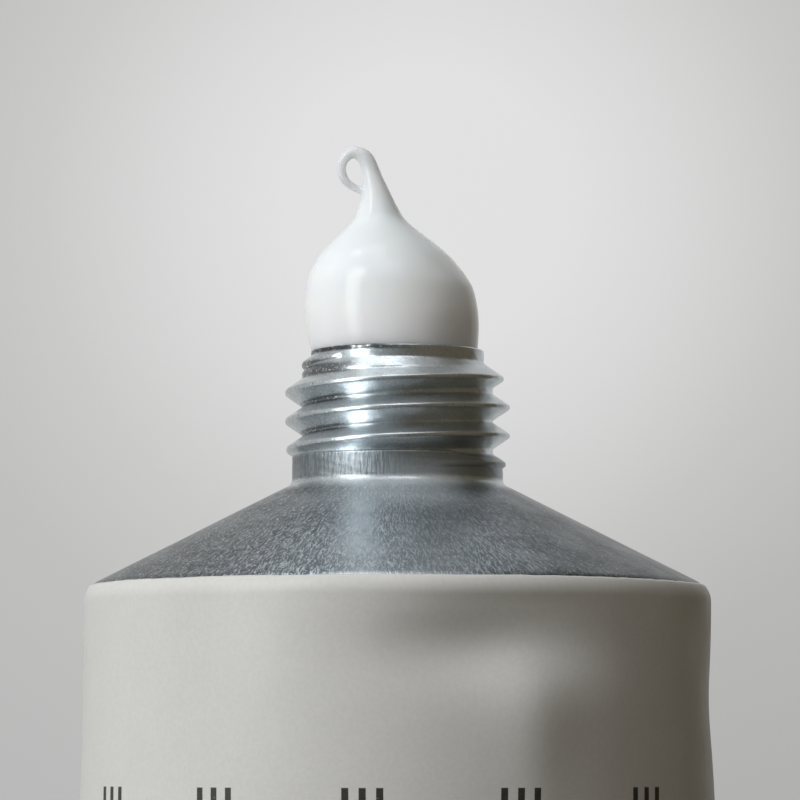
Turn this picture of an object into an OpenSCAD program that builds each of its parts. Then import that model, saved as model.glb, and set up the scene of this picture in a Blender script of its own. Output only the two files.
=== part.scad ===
// A collapsible aluminium tube of body lotion, with its cap off and lotion standing out of the neck.
// It is drawn upright with its front towards -Y, and then laid on its back, as it comes to rest.

/* [Sleeve] */
// Outside diameter of the round end of the sleeve
sleeve_d = 40; // [34:0.5:50]
// Length from the shoulder edge to the folded end
sleeve_length = 165; // [130:1:200]
// Thickness of the aluminium in the sleeve
wall = 0.15; // [0.12:0.01:0.3]
// Thickness of the enamel on the outside of the sleeve
enamel = 0.1; // [0.08:0.01:0.2]
// Length below the shoulder that stays round
round_length = 5; // [3:0.5:15]
// Length over which the flattening sets in
easing_length = 30; // [15:1:50]

/* [Folded end] */
// Depth of the folded hem that closes the sleeve
fold_depth = 5; // [3:0.5:8]
// Length of flat strip between the filled part and the hem
flat_strip = 2; // [1:0.5:5]
// Gap left between the folded layers
fold_gap = 0.06; // [0.04:0.01:0.12]
// Half of the thickness that the lotion thins out to at the flat strip
pinch = 0.04; // [0.03:0.01:0.1]

/* [Shoulder] */
// Radius of the rounded edge between shoulder and sleeve, over the enamel
edge_round = 1.6; // [0.8:0.1:2.5]
// Slope of the shoulder above the horizontal, in degrees
shoulder_slope = 26.8; // [18:0.1:38]
// Thickness of the shoulder
shoulder_wall = 0.8; // [0.5:0.05:1.2]
// How far the enamel reaches inward over the rounded edge
enamel_reach = 0.42; // [0.2:0.02:0.7]

/* [Neck] */
// Height of the neck from its foot to the rim
neck_height = 8.6; // [7.5:0.1:12]
// Diameter of the plain collar at the foot of the neck
collar_d = 13.5; // [13.2:0.1:14]
// Diameter over the thread
thread_d = 14.4; // [14.2:0.1:16]
// Rise of the thread in one turn
thread_pitch = 1.83; // [1.5:0.01:2.1]
// Height of the lowest crest above the foot, on the right-hand side
thread_start = 1.3; // [1.1:0.05:1.8]
// Half of the angle between the flanks, in degrees
flank_angle = 33.7; // [30:0.1:42]
// Width of the crest
crest_flat = 0.24; // [0.1:0.02:0.4]
// Diameter of the plain nose above the thread
nose_d = 11.1; // [10.4:0.1:11.6]
// Height of the plain nose
nose_height = 0.8; // [0.5:0.1:1.5]
// Chamfer at the rim
rim_chamfer = 0.12; // [0.05:0.01:0.3]
// Diameter of the mouth
bore_d = 9; // [6:0.1:9.6]

/* [Lotion] */
// Height of the dab from the rim to the shoulder of its bulge
bulge_height = 8.1; // [6:0.1:10]
// Width of the dab at its widest, on the right and left together
bulge_d = 11; // [9:0.1:11.4]
// Length of the drawn-out tip above the bulge
tip_length = 3.5; // [2.5:0.1:6]
// Height of the curl at the end of the tip
curl_height = 2.9; // [2:0.1:4]
// Thickness of the strand at the top of the curl
strand_d = 0.72; // [0.4:0.02:1]

/* [Dents] */
// Depth of the shallow dent in the front
front_dent_depth = 0.7; // [0.1:0.05:1]
// Drop of the front dent below the shoulder edge
front_dent_drop = 4; // [3:0.1:8]
// Depth of the dent in the right-hand side
side_dent_depth = 0.22; // [0.1:0.02:0.6]
// Drop of the side dent below the shoulder edge
side_dent_drop = 7.8; // [4:0.1:12]

/* [Hidden] */
$fn = 96;

radius = sleeve_d / 2;
skin = wall + enamel;
inner_r = radius - skin;
metal_r = radius - enamel;
collar_r = collar_d / 2;
thread_r = thread_d / 2;
nose_r = nose_d / 2;
bore_r = bore_d / 2;

// Levels are heights above the line where the shoulder's slope begins, and drops are depths below it.
slope_start_r = radius - edge_round + (edge_round - enamel) * sin(shoulder_slope);
edge_drop = (edge_round - enamel) * cos(shoulder_slope);
foot_level = (slope_start_r - collar_r) * tan(shoulder_slope);
rim_level = foot_level + neck_height;
nose_level = rim_level - nose_height;
sleeve_start = edge_drop + shoulder_wall;
bulge_top = rim_level + bulge_height;
tip_top = bulge_top + tip_length;
curl_top = tip_top + curl_height / 2;

// A V thread whose flanks all but meet at the root.
root_flat = thread_pitch / 13;
thread_depth = (thread_pitch - crest_flat - root_flat) / 2 / tan(flank_angle);
core_r = thread_r - thread_depth;
bite = wall / 3;
first_crest = foot_level + thread_start;
nose_taper = nose_level - (core_r - nose_r) / tan(flank_angle) * 0.75;

// The hem: a strip of two pressed walls, folded over twice towards the front.
strip = 2 * (wall + pinch);
layer = strip + fold_gap;
hem_turn = sleeve_length - layer;
hem_start = sleeve_length - fold_depth;
strip_start = hem_start - flat_strip;
solid_end = flat_strip / 2;
flat_at = strip_start - solid_end;
turn_r = layer + strip / 2 + enamel;

// The tube lies on its back on a plane that runs from the full part of the sleeve to the hem.
lift_off = round_length + easing_length / 2;
belly_guess = (radius + layer - turn_r) / (hem_turn - lift_off);
belly_slope = (radius + layer - turn_r * sqrt(1 + belly_guess * belly_guess)) / (hem_turn - lift_off);
lean = atan(belly_slope);
function belly(drop) = radius - belly_slope * (drop - lift_off);

// Cross sections of the sleeve, from round at the shoulder to a flat strip at the hem.
angle_step = 7.5;
edge_angle = 1;
half_angles = concat([edge_angle], [for (a = [angle_step : angle_step : 180 - angle_step]) a], [180 - edge_angle]);
angles = concat(half_angles, [for (a = half_angles) a + 180]);
flat_share_end = 1 - pinch / inner_r;
near_drop = 3 * round_length;
near_steps = 9;
far_steps = 14;
stations = concat(
    [for (i = [0 : near_steps]) sleeve_start + (near_drop - sleeve_start) * i / near_steps],
    [for (i = [1 : far_steps]) near_drop + (flat_at - near_drop) * i / far_steps]
);
closed_stations = concat(stations, [strip_start]);

function eased(drop) =
    let (d = max(0, drop - round_length))
    d < easing_length ? d * d / (2 * easing_length) : d - easing_length / 2;
// Share of the flattening: 0 where the sleeve is round, nearly 1 where its walls meet.
function flat_share(drop) = flat_share_end * min(1, eased(drop) / eased(flat_at));

// The sheet keeps its girth, so a part-flattened section is widened by what its mixing lost.
girth_samples = 18;
function sum(list, i = 0) = i < len(list) ? list[i] + sum(list, i + 1) : 0;
function girth_gain(t) = girth_samples / sum([
    for (i = [0.5 : girth_samples])
        sqrt((1 - t) * (1 - t) + t * t + 2 * t * (1 - t) * sin(90 * i / girth_samples))
]);

function unit(v) = v / norm(v);
function bump(offset, reach) = exp(-(offset / reach) * (offset / reach));
function turn_between(a, b) = let (d = abs(a - b) % 360) min(d, 360 - d);
function arc_length(a, b) = turn_between(a, b) * PI / 180 * radius;

// Dents, fading out at the rounded edge: a broad one in the front and a small one in the side.
front_dent_angle = 284;
front_dent_half = [0.375 * radius, 0.12 * radius];
side_dent_angle = 0;
side_dent_half = [0.25 * radius, 0.16 * radius];
dent_fade = 0.075 * radius;
function dent(drop, angle) =
    let (
        fade = min(1, max(0, (drop - sleeve_start) / dent_fade)),
        front = bump(arc_length(angle, front_dent_angle), front_dent_half[0])
            * bump(drop - front_dent_drop, front_dent_half[1]),
        side = bump(arc_length(angle, side_dent_angle), side_dent_half[0])
            * bump(drop - side_dent_drop, side_dent_half[1])
    )
    fade * (front_dent_depth * front + side_dent_depth * side);

// A point of the sleeve, outward of the inside surface by the offset.
function sleeve_point(drop, angle, offset) =
    let (
        t = flat_share(drop),
        half = angle % 180,
        f = angle < 180 ? half : 180 - half,
        base = inner_r * girth_gain(t),
        at_edge = f <= edge_angle || f >= 180 - edge_angle,
        normal = at_edge ? [f < 90 ? 1 : -1, t] : unit([(1 - t) * cos(f), (1 - t) * sin(f) + t]),
        out = offset - dent(drop, angle),
        x = base * ((1 - t) * cos(f) + t * (90 - f) * PI / 180) + normal[0] * out,
        y = base * (1 - t) * sin(f) + normal[1] * out
    )
    [x, angle < 180 ? min(y, belly(drop) - skin + offset) : -y, -drop];

function ring(drop, offset) = [for (a = angles) sleeve_point(drop, a, offset)];

// The faceted sleeve starts inside the turned wall of the shoulder, and its rings there stay clear of
// the turned surfaces. Each start is two rings, and the rest of the stations follow it.
seam_lap = shoulder_wall / 2;
seam_margin = wall / 15;
facet_sag = radius * (1 - cos(angle_step / 2)) + seam_margin / 2;
function seam(offset) = [ring(sleeve_start - seam_lap, offset), ring(sleeve_start, offset)];
function after_seam(drops, offset) = [for (i = [1 : len(drops) - 1]) ring(drops[i], offset)];
function flatten(lists) = [for (list = lists) for (item = list) item];

// Faces between rings of n points each, from ring a to ring b, and the caps that close a ring. Surfaces
// that lie on each other need the same diagonals, so a band that runs up takes the other ones.
function band(a, b, n, up = false) = flatten([
    for (j = [0 : n - 1])
        let (k = (j + 1) % n)
        up
            ? [[a * n + j, a * n + k, b * n + j], [a * n + k, b * n + k, b * n + j]]
            : [[a * n + j, a * n + k, b * n + k], [a * n + j, b * n + k, b * n + j]]
]);
function bands(first, last, n, up = false) = flatten([for (i = [first : last - 1]) band(i, i + 1, n, up)]);
function cap(a, n, forward) = [[for (j = [0 : n - 1]) a * n + (forward ? j : n - 1 - j)]];

// A solid whose rings run from one end to the other, or round in a loop.
module loft(rings, loop = false) {
    n = len(rings[0]);
    last = len(rings) - 1;
    faces = concat(
        bands(0, last, n),
        loop ? band(last, 0, n) : concat(cap(0, n, false), cap(last, n, true))
    );
    polyhedron(points = flatten(rings), faces = faces);
}

function reversed(list) = [for (i = [len(list) - 1 : -1 : 0]) list[i]];

// A shell whose outer and inner rings all run down. Its lower end is open, or capped outside and inside.
module shell(outer, inner, capped = false) {
    n = len(outer[0]);
    bottom = len(outer) - 1;
    last = bottom + len(inner);
    faces = concat(
        bands(0, bottom, n),
        capped ? concat(cap(bottom, n, true), cap(bottom + 1, n, false)) : band(bottom, bottom + 1, n),
        bands(bottom + 1, last, n, true),
        band(last, 0, n)
    );
    polyhedron(points = flatten(concat(outer, reversed(inner))), faces = faces);
}

// The hem's outline in its side view: x is the drop, y is towards the back, and grow adds the enamel.
module hem_outline(grow) {
    half = strip / 2 + grow;
    translate([strip_start, -half]) square([hem_turn - strip_start, 2 * half]);
    translate([hem_start, -2 * layer - half]) square([hem_turn - hem_start, 2 * (layer + half)]);
    translate([hem_turn, -layer]) circle(layer + half);
    translate([hem_start, -1.5 * layer]) circle(layer / 2 + half);
}

// What the fold leaves open: a slit on each side of the inmost layer, and the room inside the turn.
module hem_slits() {
    translate([hem_start - layer, -layer / 2 - fold_gap / 2]) square([hem_turn - hem_start + layer, fold_gap]);
    translate([hem_start, -1.5 * layer - fold_gap / 2]) square([hem_turn - hem_start, fold_gap]);
    intersection() {
        translate([hem_turn, -layer]) circle(layer - strip / 2);
        translate([hem_turn, -2 * layer]) square([layer, 2 * layer]);
    }
}

strip_half_width = max([for (p = ring(strip_start, wall)) p[0]]);

module across_hem(half_width) {
    rotate([0, 90, 0]) linear_extrude(height = 2 * half_width, center = true) children();
}

// A tongue inside the flat strip, which ties the hem to the sleeve.
module hem_tongue() {
    across_hem(strip_half_width - flat_strip)
        translate([strip_start - solid_end / 2, -wall / 2]) square([solid_end, wall]);
}

// Height of the thread's crest after a turn of the given angle from the right-hand side.
function crest_level(angle) = first_crest + thread_pitch * angle / 360;
run_in = 75;
run_in_full = 270;
last_angle = (nose_level - first_crest) / thread_pitch * 360 + 30;
run_out = 390;
function crest_radius(angle) =
    let (
        rise = min(1, (angle + run_in) / (run_in_full + run_in)),
        fall = min(1, (last_angle - angle) / run_out)
    )
    angle < run_in_full
        ? collar_r - bite + (thread_r - collar_r + bite) * sqrt(max(0, rise))
        : nose_r + (thread_r - nose_r) * sqrt(max(0.002, fall));
function core_radius(level) =
    level <= nose_taper ? core_r
    : level >= nose_level ? nose_r
    : core_r + (nose_r - core_r) * (level - nose_taper) / (nose_level - nose_taper);

thread_step = 7.5;
module thread_ridge() {
    count = ceil((last_angle + run_in) / thread_step);
    rings = [
        for (i = [0 : count])
            let (
                angle = -run_in + (last_angle + run_in) * i / count,
                level = crest_level(angle),
                foot_r = core_radius(level + thread_pitch / 2) - bite,
                top_r = max(crest_radius(angle), foot_r + bite),
                half = min(
                    (thread_pitch - root_flat) / 2,
                    crest_flat / 2 + (top_r - foot_r) * tan(flank_angle)
                )
            )
            [
                for (p = [[foot_r, half], [foot_r, -half], [top_r, -crest_flat / 2], [top_r, crest_flat / 2]])
                    [p[0] * cos(angle), p[0] * sin(angle), level + p[1]]
            ]
    ];
    loft(rings);
}

// The collar's top follows the underside of the first turn, and drops where the thread comes out of it.
collar_lap = 0.22 * thread_pitch;
drop_from = 300;
function collar_top(angle) =
    let (
        follow = min(crest_level(angle), crest_level(180)) - collar_lap,
        low = crest_level(0) - collar_lap
    )
    angle <= drop_from ? follow : follow + (low - follow) * (angle - drop_from) / (360 - drop_from);

module collar_ramp() {
    low = crest_level(0) - 2 * collar_lap;
    outer = collar_r + 2 * seam_margin;
    corners = [[core_r - bite, 0], [core_r - bite, 1], [outer, 1], [outer, 0]];
    rings = [
        for (angle = [0 : thread_step : 360 - thread_step])
            [for (c = corners) [
                c[0] * cos(angle), c[0] * sin(angle), c[1] == 1 ? collar_top(angle) : low
            ]]
    ];
    loft(reversed(rings), loop = true);
}

edge_steps = 8;
function edge_arc(r, from, to) = [
    for (i = [0 : edge_steps])
        let (a = from + (to - from) * i / edge_steps)
        [radius - edge_round + r * cos(a), -edge_drop + r * sin(a)]
];
function inside_slope(r) = (slope_start_r - r) * tan(shoulder_slope) - shoulder_wall / cos(shoulder_slope);

// Shoulder and neck, turned about the axis.
module turned_end() {
    rotate_extrude()
        polygon(concat(
            [
                [bore_r, inside_slope(bore_r)],
                [inner_r, inside_slope(inner_r)],
                [inner_r, -sleeve_start],
                [metal_r, -sleeve_start]
            ],
            edge_arc(edge_round - enamel, 0, 90 - shoulder_slope),
            [
                [collar_r, foot_level],
                [collar_r, first_crest - collar_lap],
                [core_r, first_crest - collar_lap],
                [core_r, nose_taper],
                [nose_r, nose_level],
                [nose_r, rim_level - rim_chamfer],
                [nose_r - rim_chamfer, rim_level],
                [bore_r, rim_level]
            ]
        ));
}

// Lays the upright tube on its back, with the belly on the ground and the front up.
module laid_down() {
    translate([
        0,
        (sleeve_length - curl_top) / 2 * cos(lean),
        (radius + belly_slope * lift_off) * cos(lean)
    ])
        rotate([lean - 90, 0, 0])
            children();
}

module tube() {
    color("#a9b0b4") laid_down() {
        turned_end();
        thread_ridge();
        collar_ramp();
        shell(
            concat(seam(wall - 2 * seam_margin), after_seam(closed_stations, wall)),
            concat(seam(facet_sag), after_seam(stations, 0)),
            capped = true
        );
        across_hem(strip_half_width) difference() {
            hem_outline(0);
            hem_slits();
        }
        hem_tongue();
    }
}

module enamel_coat() {
    reach_angle = acos((edge_round - enamel_reach) / edge_round);
    color("#dcdad4") laid_down() {
        rotate_extrude()
            polygon(concat(
                [[metal_r, -sleeve_start], [radius, -sleeve_start]],
                edge_arc(edge_round, 0, reach_angle),
                reversed(edge_arc(edge_round - enamel, 0, reach_angle))
            ));
        shell(
            concat(seam(skin - seam_margin), after_seam(closed_stations, skin)),
            concat(seam(wall + facet_sag), after_seam(closed_stations, wall))
        );
        across_hem(strip_half_width) difference() {
            hem_outline(enamel);
            hem_outline(0);
        }
    }
}

// The dab's spine, from the rim up: [to the right, height, radius].
bulge_r = bulge_d / 2;
dab_base_r = nose_r - rim_chamfer;
dab_spine = [
    [-0.018 * bulge_r, rim_level, dab_base_r],
    [-0.036 * bulge_r, rim_level + 0.15 * bulge_height, bulge_r * 0.99],
    [-0.051 * bulge_r, rim_level + 0.32 * bulge_height, bulge_r],
    [-0.076 * bulge_r, rim_level + 0.50 * bulge_height, bulge_r * 0.975],
    [-0.105 * bulge_r, rim_level + 0.66 * bulge_height, bulge_r * 0.89],
    [-0.131 * bulge_r, rim_level + 0.80 * bulge_height, bulge_r * 0.72],
    [-0.153 * bulge_r, rim_level + 0.90 * bulge_height, bulge_r * 0.55],
    [-0.173 * bulge_r, bulge_top, bulge_r * 0.38],
    [-0.191 * bulge_r, bulge_top + 0.28 * tip_length, bulge_r * 0.255],
    [-0.222 * bulge_r, bulge_top + 0.56 * tip_length, bulge_r * 0.19],
    [-0.258 * bulge_r, bulge_top + 0.80 * tip_length, bulge_r * 0.14],
    [-0.295 * bulge_r, tip_top, bulge_r * 0.10]
];
// The curl leaves the tip, turns over to the left and comes back into the tip's side.
strand_r = strand_d / 2;
curl_spine = [
    [-0.27 * bulge_r, tip_top - 0.18 * curl_height, strand_r * 1.25],
    [-0.30 * bulge_r, tip_top + 0.02 * curl_height, strand_r * 1.35],
    [-0.34 * bulge_r, tip_top + 0.20 * curl_height, strand_r * 1.2],
    [-0.40 * bulge_r, tip_top + 0.34 * curl_height, strand_r * 1.05],
    [-0.48 * bulge_r, tip_top + 0.38 * curl_height, strand_r],
    [-0.55 * bulge_r, tip_top + 0.28 * curl_height, strand_r * 0.92],
    [-0.60 * bulge_r, tip_top + 0.08 * curl_height, strand_r * 0.85],
    [-0.62 * bulge_r, tip_top - 0.16 * curl_height, strand_r * 0.8],
    [-0.60 * bulge_r, tip_top - 0.36 * curl_height, strand_r * 0.7],
    [-0.53 * bulge_r, tip_top - 0.52 * curl_height, strand_r * 0.58],
    [-0.45 * bulge_r, tip_top - 0.62 * curl_height, strand_r * 0.5],
    [-0.37 * bulge_r, tip_top - 0.68 * curl_height, strand_r * 0.5],
    [-0.32 * bulge_r, tip_top - 0.72 * curl_height, strand_r * 0.5]
];

// A smooth line through the points of a spine, and the rings around it.
spine_steps = 3;
function between(a, b, c, d, t) =
    0.5 * (2 * b + (c - a) * t + (2 * a - 5 * b + 4 * c - d) * t * t + (3 * b - a - 3 * c + d) * t * t * t);
function smooth(list) = concat(
    [
        for (i = [0 : len(list) - 2])
            for (s = [0 : spine_steps - 1])
                between(
                    list[max(0, i - 1)], list[i], list[i + 1],
                    list[min(len(list) - 1, i + 2)], s / spine_steps
                )
    ],
    [list[len(list) - 1]]
);

module strand(spine, sides, level_start = false) {
    line = smooth(spine);
    last = len(line) - 1;
    rings = [
        for (i = [0 : last])
            let (
                along = line[min(last, i + 1)] - line[max(0, i - 1)],
                t = level_start && i == 0 ? [0, 1] : unit([along[0], along[1]]),
                c = line[i]
            )
            [for (a = [0 : 360 / sides : 359]) [
                c[0] + c[2] * cos(a) * t[1], c[2] * sin(a), c[1] - c[2] * cos(a) * t[0]
            ]]
    ];
    loft(reversed(rings));
}

module lotion() {
    color("#e8ecec") laid_down() {
        strand(dab_spine, 40, level_start = true);
        strand(curl_spine, 16);
        rotate_extrude()
            polygon([
                [0, -sleeve_start],
                [inner_r, -sleeve_start],
                [inner_r, inside_slope(inner_r)],
                [bore_r, inside_slope(bore_r)],
                [bore_r, rim_level + bulge_height / 8],
                [0, rim_level + bulge_height / 8]
            ]);
        loft(concat(seam(-2 * seam_margin), after_seam(stations, 0)));
    }
}

tube();
enamel_coat();
lotion();
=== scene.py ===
"""The looks of a collapsible aluminium tube of body lotion, which lies on its back with its cap off."""

import math
from types import SimpleNamespace

import bpy
import numpy as np
from mathutils import Matrix, Vector


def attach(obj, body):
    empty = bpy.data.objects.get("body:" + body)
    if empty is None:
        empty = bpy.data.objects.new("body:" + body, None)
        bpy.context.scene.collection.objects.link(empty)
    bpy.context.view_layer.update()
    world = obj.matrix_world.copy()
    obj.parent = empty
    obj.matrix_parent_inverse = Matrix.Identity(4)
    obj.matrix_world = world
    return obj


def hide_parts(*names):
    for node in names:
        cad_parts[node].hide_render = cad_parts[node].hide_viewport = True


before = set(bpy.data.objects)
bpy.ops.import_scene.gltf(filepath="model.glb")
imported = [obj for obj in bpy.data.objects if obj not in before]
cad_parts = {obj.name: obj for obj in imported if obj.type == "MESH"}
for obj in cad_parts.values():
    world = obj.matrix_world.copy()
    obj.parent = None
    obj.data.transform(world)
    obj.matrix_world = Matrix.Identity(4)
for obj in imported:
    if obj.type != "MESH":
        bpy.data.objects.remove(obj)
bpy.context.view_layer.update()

# Sizes of the tube, in millimetres. Levels are heights above the line where the shoulder's slope
# begins, and drops are depths below it. The tube is described upright, with its front towards -Y.
MM = 0.001
RADIUS = 20.0
LENGTH = 165.0
WALL = 0.15
ENAMEL = 0.1
ROUND_LENGTH = 5.0
EASING_LENGTH = 30.0
FOLD_DEPTH = 5.0
FLAT_STRIP = 2.0
FLAT_LEAD = 1.0
FOLD_GAP = 0.06
PINCH = 0.04
EDGE_ROUND = 1.6
SHOULDER_SLOPE = math.radians(26.8)
SHOULDER_WALL = 0.8
ENAMEL_REACH = 0.42
NECK_HEIGHT = 8.6
COLLAR_R = 6.75
THREAD_R = 7.2
PITCH = 1.83
THREAD_START = 1.3
FLANK = math.tan(math.radians(33.7))
CREST_FLAT = 0.24
ROOT_FLAT = 0.14
NOSE_R = 5.55
NOSE_HEIGHT = 0.8
NOSE_STEEPNESS = 0.75
RIM_CHAMFER = 0.12
BORE_R = 4.5
BULGE_HEIGHT = 8.1
TIP_LENGTH = 3.5
CURL_RISE = 1.45

SKIN = WALL + ENAMEL
INNER_R = RADIUS - SKIN
SLOPE_START_R = RADIUS - EDGE_ROUND + (EDGE_ROUND - ENAMEL) * math.sin(SHOULDER_SLOPE)
EDGE_DROP = (EDGE_ROUND - ENAMEL) * math.cos(SHOULDER_SLOPE)
FOOT_LEVEL = (SLOPE_START_R - COLLAR_R) * math.tan(SHOULDER_SLOPE)
RIM_LEVEL = FOOT_LEVEL + NECK_HEIGHT
NOSE_LEVEL = RIM_LEVEL - NOSE_HEIGHT
CORE_R = THREAD_R - (PITCH - CREST_FLAT - ROOT_FLAT) / 2 / FLANK
FIRST_CREST = FOOT_LEVEL + THREAD_START
NOSE_TAPER = NOSE_LEVEL - (CORE_R - NOSE_R) / FLANK * NOSE_STEEPNESS
CURL_TOP = RIM_LEVEL + BULGE_HEIGHT + TIP_LENGTH + CURL_RISE

STRIP = 2 * (WALL + PINCH)
LAYER = STRIP + FOLD_GAP
HEM_TURN = LENGTH - LAYER
HEM_START = LENGTH - FOLD_DEPTH
STRIP_START = HEM_START - FLAT_STRIP
FLAT_AT = STRIP_START - FLAT_LEAD
TURN_R = LAYER + STRIP / 2 + ENAMEL
LIFT_OFF = ROUND_LENGTH + EASING_LENGTH / 2

# The belly's slope makes the hem's fold touch the floor too. A first guess sets how wide the fold turns.
BELLY_GUESS = (RADIUS + LAYER - TURN_R) / (HEM_TURN - LIFT_OFF)
BELLY_SLOPE = (RADIUS + LAYER - TURN_R * math.sqrt(1 + BELLY_GUESS**2)) / (HEM_TURN - LIFT_OFF)
LEAN = math.atan(BELLY_SLOPE)

# The upright tube, in millimetres, is laid on its back with its belly on the floor.
LAID_TURN = LEAN - math.pi / 2
LAID_AT = (
    0.0,
    (LENGTH - CURL_TOP) / 2 * math.cos(LEAN),
    (RADIUS + BELLY_SLOPE * LIFT_OFF) * math.cos(LEAN),
)
LAID = (
    Matrix.Translation(Vector(LAID_AT) * MM)
    @ Matrix.Rotation(LAID_TURN, 4, "X")
    @ Matrix.Scale(MM, 4)
)


# Camera

# A pixel of the picture spans this many millimetres at the tube's axis.
PIXEL_MM = 0.06395
PICTURE_WIDTH = 800
SENSOR_WIDTH = 36.0
CAMERA_AWAY = 280.0
CAMERA_RIGHT = 0.16
CAMERA_LEVEL = -10.8
CAMERA_PITCH = math.radians(4.59)


def place_camera():
    """The photograph's camera, which keeps its place to the tube and so looks down on it."""
    data = bpy.data.cameras.new("camera")
    data.sensor_width = SENSOR_WIDTH
    data.lens = SENSOR_WIDTH * CAMERA_AWAY / PIXEL_MM / PICTURE_WIDTH
    data.clip_start = 0.01
    data.clip_end = 20
    camera = bpy.data.objects.new("camera", data)
    bpy.context.collection.objects.link(camera)
    stand = Matrix.Translation((CAMERA_RIGHT, -CAMERA_AWAY, CAMERA_LEVEL))
    place = LAID @ stand @ Matrix.Rotation(math.pi / 2 + CAMERA_PITCH, 4, "X")
    camera.matrix_world = Matrix.Translation(place.translation) @ place.to_quaternion().to_matrix().to_4x4()
    bpy.context.scene.camera = camera


place_camera()


# Cross sections of the sleeve

# Columns of points round the tube, in degrees from its right. The first lies close to the side fold.
FOLD_ANGLE = 1.0
HALF_ANGLES = [FOLD_ANGLE] + list(np.arange(3.0, 177.1, 1.5)) + [180 - FOLD_ANGLE]
ANGLES = np.array(HALF_ANGLES + [a + 180 for a in HALF_ANGLES])
COLUMNS = len(ANGLES)
COS = np.cos(np.radians(ANGLES))
SIN = np.sin(np.radians(ANGLES))
# Distance round the sleeve from the middle of its front, to the right
ARC = ((ANGLES - 270 + 180) % 360 - 180) * math.pi / 180 * RADIUS


def rise(value, start, length):
    """From 0 at the start to 1 a length further on."""
    return min(1.0, max(0.0, (value - start) / length))


def bump(x, reach):
    """A smooth hill of height 1 at 0, which falls to about a third at its reach."""
    return np.exp(-((x / reach) ** 2))


def eased(drop):
    """The drop past the round part, with a soft start."""
    d = max(0.0, drop - ROUND_LENGTH)
    return d * d / (2 * EASING_LENGTH) if d < EASING_LENGTH else d - EASING_LENGTH / 2


def flat_share(drop):
    """How flat the sleeve is: 0 where it is round, and nearly 1 at the strip."""
    return (1 - PINCH / INNER_R) * min(1.0, eased(drop) / eased(FLAT_AT))


def girth_gain(t):
    """The factor that keeps the sheet's girth while the section goes flat by the share t."""
    steps = 18
    sines = np.sin(np.radians(90 * (np.arange(steps) + 0.5) / steps))
    return steps / np.sqrt((1 - t) ** 2 + t * t + 2 * t * (1 - t) * sines).sum()


def belly(drop):
    """How far behind the axis the belly lies on the floor."""
    return RADIUS - BELLY_SLOPE * (drop - LIFT_OFF)


# Dents: (distance right of the middle, drop, half width, half height, depth)
DENTS = [
    (5.5, 4.4, 6.4, 2.4, 1.25),
    (31.4, 7.8, 5.0, 3.2, 0.22),
    (24.0, 3.2, 2.6, 2.6, 0.16),
    (-14.0, 10.0, 6.0, 7.0, 0.06),
]
# A low ridge runs down at the front dent's right: a short swelling with a narrow line along it.
RIDGE_RIGHT = 8.4
SWELLING_DROP = 8.4
SWELLING_HALF_WIDTH = 3.1
SWELLING_HALF_HEIGHT = 3.6
SWELLING_RISE = 0.3
LINE_HALF_WIDTH = 1.9
LINE_RISE = 0.14


def dents(drop):
    """How far the sleeve is pushed in, round the ring at that drop."""
    total = np.zeros(COLUMNS)
    for right, down, wide, high, depth in DENTS:
        apart = (ARC - right + math.pi * RADIUS) % (2 * math.pi * RADIUS) - math.pi * RADIUS
        total += depth * bump(apart, wide) * bump(drop - down, high)
    swelling = bump(ARC - RIDGE_RIGHT, SWELLING_HALF_WIDTH) * bump(drop - SWELLING_DROP, SWELLING_HALF_HEIGHT)
    line = bump(ARC - RIDGE_RIGHT, LINE_HALF_WIDTH) * rise(drop, 3.0, 4.0)
    ridge = (SWELLING_RISE * swelling + LINE_RISE * line) * (1 - rise(drop, 16.0, 14.0))
    return rise(drop, 0.4, 1.4) * (total - ridge)


def sleeve_ring(drop, offset):
    """The sleeve's ring at that drop, outward of its inside surface by the offset."""
    t = flat_share(drop)
    half = ANGLES % 180
    turn = np.radians(np.where(ANGLES < 180, half, 180 - half))
    base = INNER_R * girth_gain(t)
    # The direction out of the sheet, which is sideways beside the two side folds
    nx, ny = (1 - t) * np.cos(turn), (1 - t) * np.sin(turn) + t
    size = np.hypot(nx, ny)
    beside_fold = np.minimum(turn, math.pi - turn) <= math.radians(FOLD_ANGLE + 0.01)
    nx = np.where(beside_fold, np.where(turn < 1, 1.0, -1.0), nx / size)
    ny = np.where(beside_fold, t, ny / size)
    out = offset - dents(drop)
    x = base * ((1 - t) * np.cos(turn) + t * (math.pi / 2 - turn)) + nx * out
    y = base * (1 - t) * np.sin(turn) + ny * out
    y = np.where(ANGLES < 180, np.minimum(y, belly(drop) - SKIN + offset), -y)
    return np.stack([x, y, np.full(COLUMNS, -drop)], axis=1)


def round_ring(r, level):
    """A ring about the axis, with one radius and level or those of each column."""
    return np.stack([r * COS, r * SIN, np.broadcast_to(level, (COLUMNS,))], axis=1)


# Drops of the sleeve's rings, which are close together where the dents are
DROPS = np.concatenate([
    np.arange(EDGE_DROP + 0.12, 16.0, 0.3),
    np.arange(16.0, 40.0, 1.0),
    np.linspace(40.0, FLAT_AT, 40),
])
CLOSED_DROPS = np.append(DROPS, STRIP_START)
INSIDE_DROPS = np.append(DROPS[:-1:2], DROPS[-1])


# Meshes

def joined(parts):
    """Points and faces of several bodies in one list each."""
    points, faces, base = [], [], 0
    for part_points, part_faces in parts:
        points.append(part_points)
        faces += [tuple(i + base for i in face) for face in part_faces]
        base += len(part_points)
    return np.vstack(points).tolist(), faces


def make_piece(name, parts, material, node):
    """One object from parts, each of points in millimetres of the upright tube, and faces."""
    points, faces = joined(parts)
    mesh = bpy.data.meshes.new(name)
    mesh.from_pydata(points, [], faces)
    mesh.transform(LAID)
    mesh.validate()
    mesh.materials.append(material)
    mesh.shade_smooth()
    piece = bpy.data.objects.new(name, mesh)
    bpy.context.collection.objects.link(piece)
    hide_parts(node)
    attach(piece, "root")


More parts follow.
